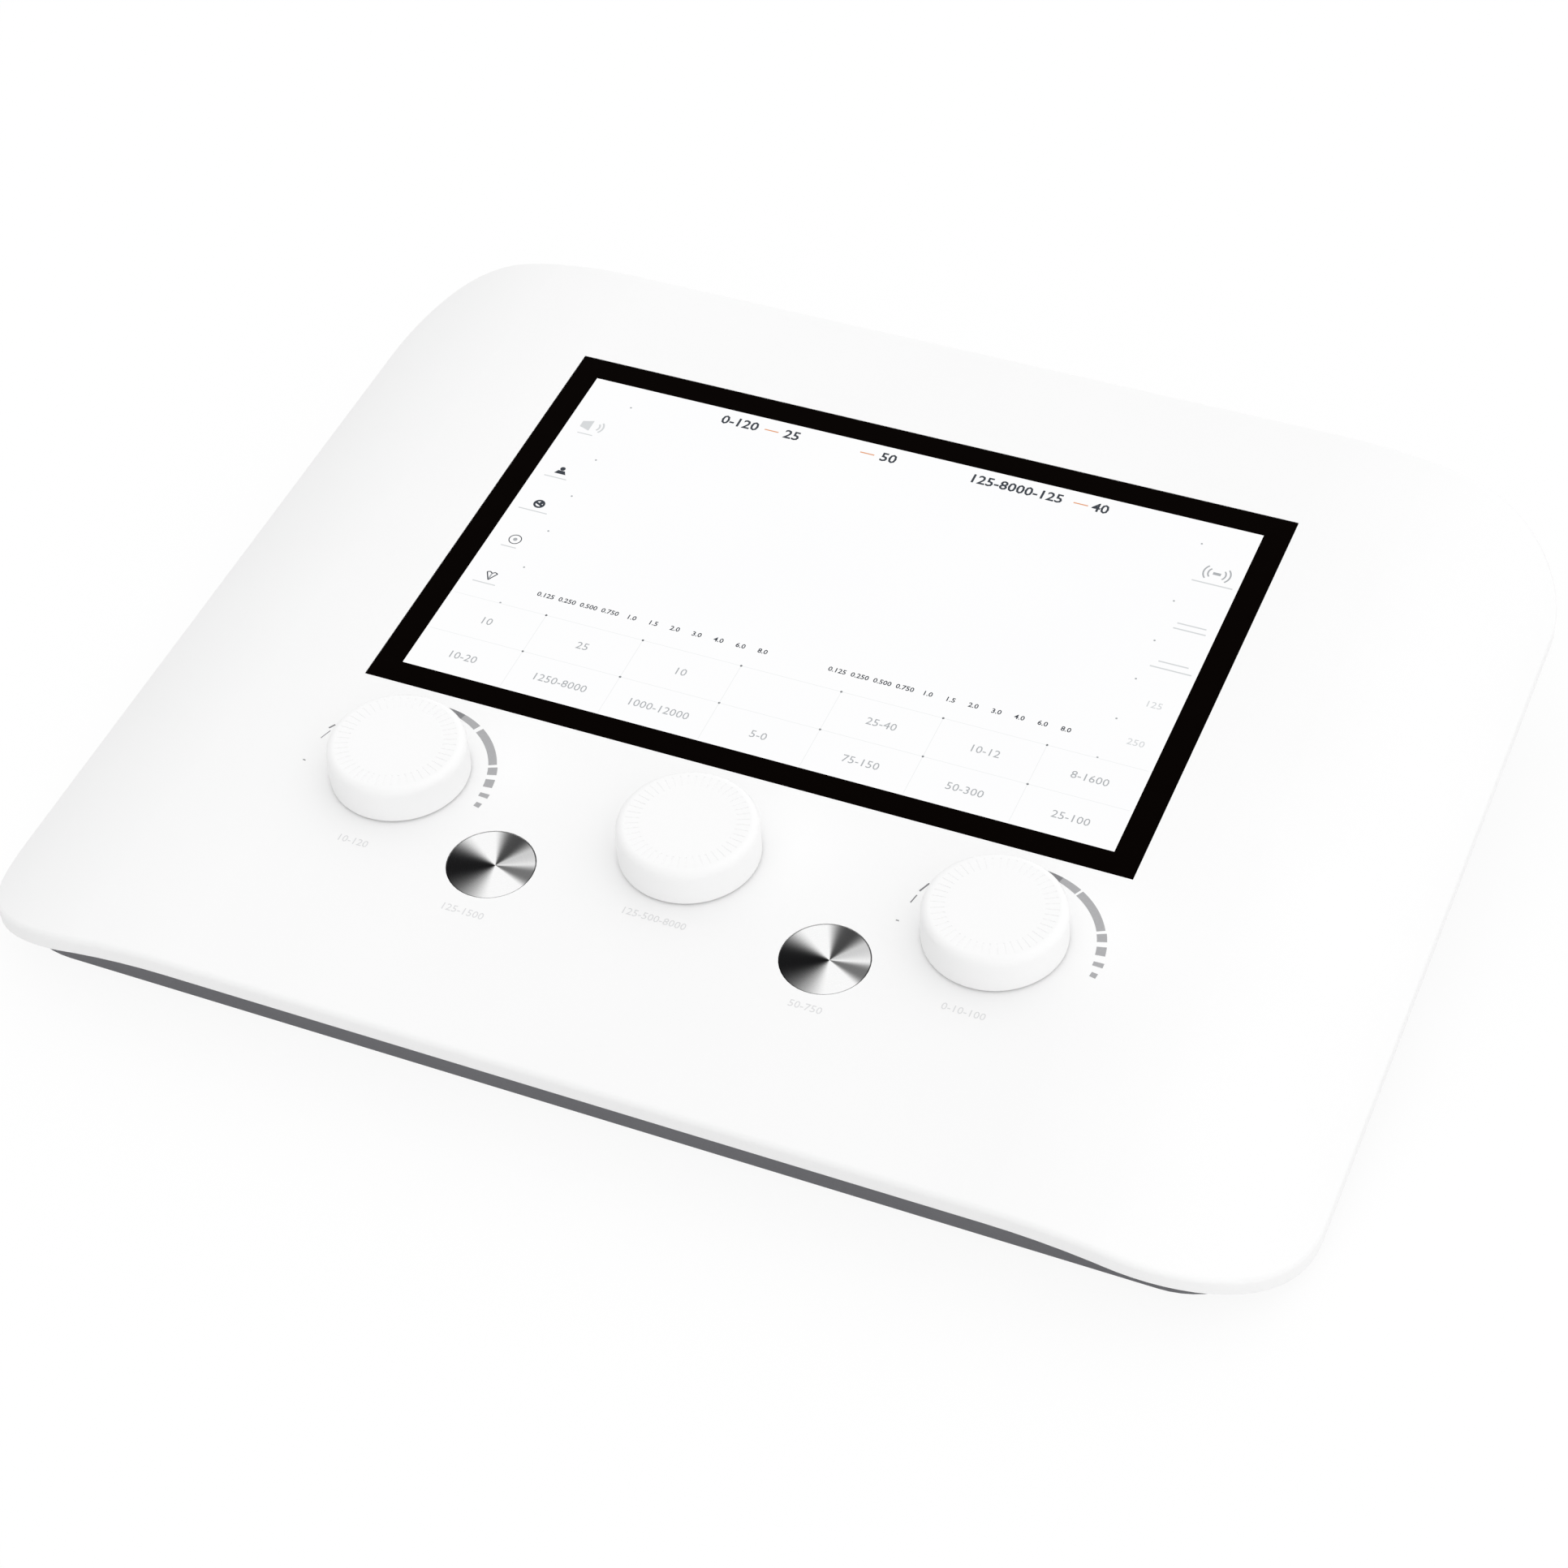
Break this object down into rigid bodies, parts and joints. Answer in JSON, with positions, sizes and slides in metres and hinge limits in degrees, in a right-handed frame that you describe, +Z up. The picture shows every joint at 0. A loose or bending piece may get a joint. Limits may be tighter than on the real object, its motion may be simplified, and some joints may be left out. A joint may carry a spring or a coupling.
{
  "type": "audiometer",
  "caption": "Desktop audiometer: arched white panel on a wedge-shaped grey base, with a flush touch screen, rotary dials, flush round keys and rear plug sockets.",
  "frame": {"origin": "centre of the bounding box in plan, on the desk under the feet", "axes": "+X to the user's right, +Y away from the user towards the socket side, +Z up"},
  "size_m": [0.387, 0.311, 0.0684],
  "materials": {
    "cover_white": "satin moulded plastic, white",
    "base_grey": "fine moulded texture, dark grey",
    "screen_glass": "polished cover glass with a black printed border",
    "gasket_black": "matt foam adhesive",
    "lcd_panel": "lit colour display",
    "bracket_steel": "zinc-plated sheet",
    "screw_steel": "zinc-plated",
    "screw_black": "black oxide",
    "board_green": "solder resist on glass-fibre laminate",
    "encoder_metal": "nickel-plated",
    "shaft_metal": "turned",
    "nut_nickel": "nickel-plated",
    "knob_white": "satin moulded plastic, white",
    "key_metal": "turned face with circular spin lines",
    "plunger_black": "moulded",
    "pad_silicone": "silicone",
    "spring_steel": "drawn wire",
    "shield_tin": "tin-plated",
    "capacitor_can": "sleeved can",
    "ribbon_grey": "flat flexible cable",
    "connector_cream": "moulded",
    "rear_plate": "powder-coated aluminium plate, dark grey",
    "socket_black": "moulded",
    "usb_steel": "folded sheet",
    "pin_brass": "plated pin",
    "switch_black": "moulded",
    "speaker_steel": "black-painted pressing",
    "cone_paper": "pressed paper",
    "foot_rubber": "matt"
  },
  "bodies": {
    "housing": {"base_tub": "base_grey", "bone_jack": "socket_black", "bracket_screws": "screw_steel", "capacitors": "capacitor_can", "center_encoder": "encoder_metal", "control_board": "board_green", "control_board_screws": "screw_steel", "control_ribbon": "ribbon_grey", "display_bracket": "bracket_steel", "display_gasket": "gasket_black", "display_glass": "screen_glass", "display_ribbon": "ribbon_grey", "encoder_nuts": "nut_nickel", "encoder_washers": "nut_nickel", "front_left_foot": "foot_rubber", "front_right_foot": "foot_rubber", "housing_screws": "screw_steel", "inlet_pins": "pin_brass", "jack_nuts": "nut_nickel", "lcd_module": "lcd_panel", "left_encoder": "encoder_metal", "left_key_spring": "spring_steel", "left_phone_jack": "socket_black", "main_board": "board_green", "main_board_screws": "screw_steel", "microphone_jack": "socket_black", "power_inlet": "socket_black", "processor_shield": "shield_tin", "rear_left_foot": "foot_rubber", "rear_panel": "rear_plate", "rear_panel_screws": "screw_black", "rear_right_foot": "foot_rubber", "response_jack": "socket_black", "ribbon_connectors": "connector_cream", "right_encoder": "encoder_metal", "right_key_spring": "spring_steel", "right_phone_jack": "socket_black", "speaker_basket": "speaker_steel", "speaker_cone": "cone_paper", "switch_housing": "switch_black", "top_cover": "cover_white", "usb_port": "usb_steel"},
    "left_dial": {"left_knob": "knob_white", "left_shaft": "shaft_metal"},
    "center_dial": {"center_knob": "knob_white", "center_shaft": "shaft_metal"},
    "right_dial": {"right_knob": "knob_white", "right_shaft": "shaft_metal"},
    "left_key": {"left_key_cap": "key_metal", "left_key_plunger": "plunger_black", "left_key_pad": "pad_silicone"},
    "right_key": {"right_key_cap": "key_metal", "right_key_plunger": "plunger_black", "right_key_pad": "pad_silicone"},
    "power_rocker": {"switch_rocker": "switch_black"}
  },
  "joints": [
    {"name": "left_dial_turn", "type": "hinge", "parent": "housing", "child": "left_dial", "pos_m": [-0.0887, -0.07037, 0.04098], "axis": [0, -0.1219, 0.9925], "continuous": true},
    {"name": "center_dial_turn", "type": "hinge", "parent": "housing", "child": "center_dial", "pos_m": [0, -0.07037, 0.04098], "axis": [0, -0.1219, 0.9925], "continuous": true},
    {"name": "right_dial_turn", "type": "hinge", "parent": "housing", "child": "right_dial", "pos_m": [0.0887, -0.07037, 0.04098], "axis": [0, -0.1219, 0.9925], "continuous": true},
    {"name": "left_key_press", "type": "slide", "parent": "housing", "child": "left_key", "axis": [0, 0.1219, -0.9925], "range_m": [0, 0.0015], "stiffness_N_per_m": 400, "springref_m": -0.002, "deforming": ["left_key_spring"]},
    {"name": "right_key_press", "type": "slide", "parent": "housing", "child": "right_key", "axis": [0, 0.1219, -0.9925], "range_m": [0, 0.0015], "stiffness_N_per_m": 400, "springref_m": -0.002, "deforming": ["right_key_spring"]},
    {"name": "power_rocker_tip", "type": "hinge", "parent": "housing", "child": "power_rocker", "pos_m": [-0.1, 0.14177, 0.0255], "axis": [1, 0, 0], "range_deg": [0, 18]}
  ]
}
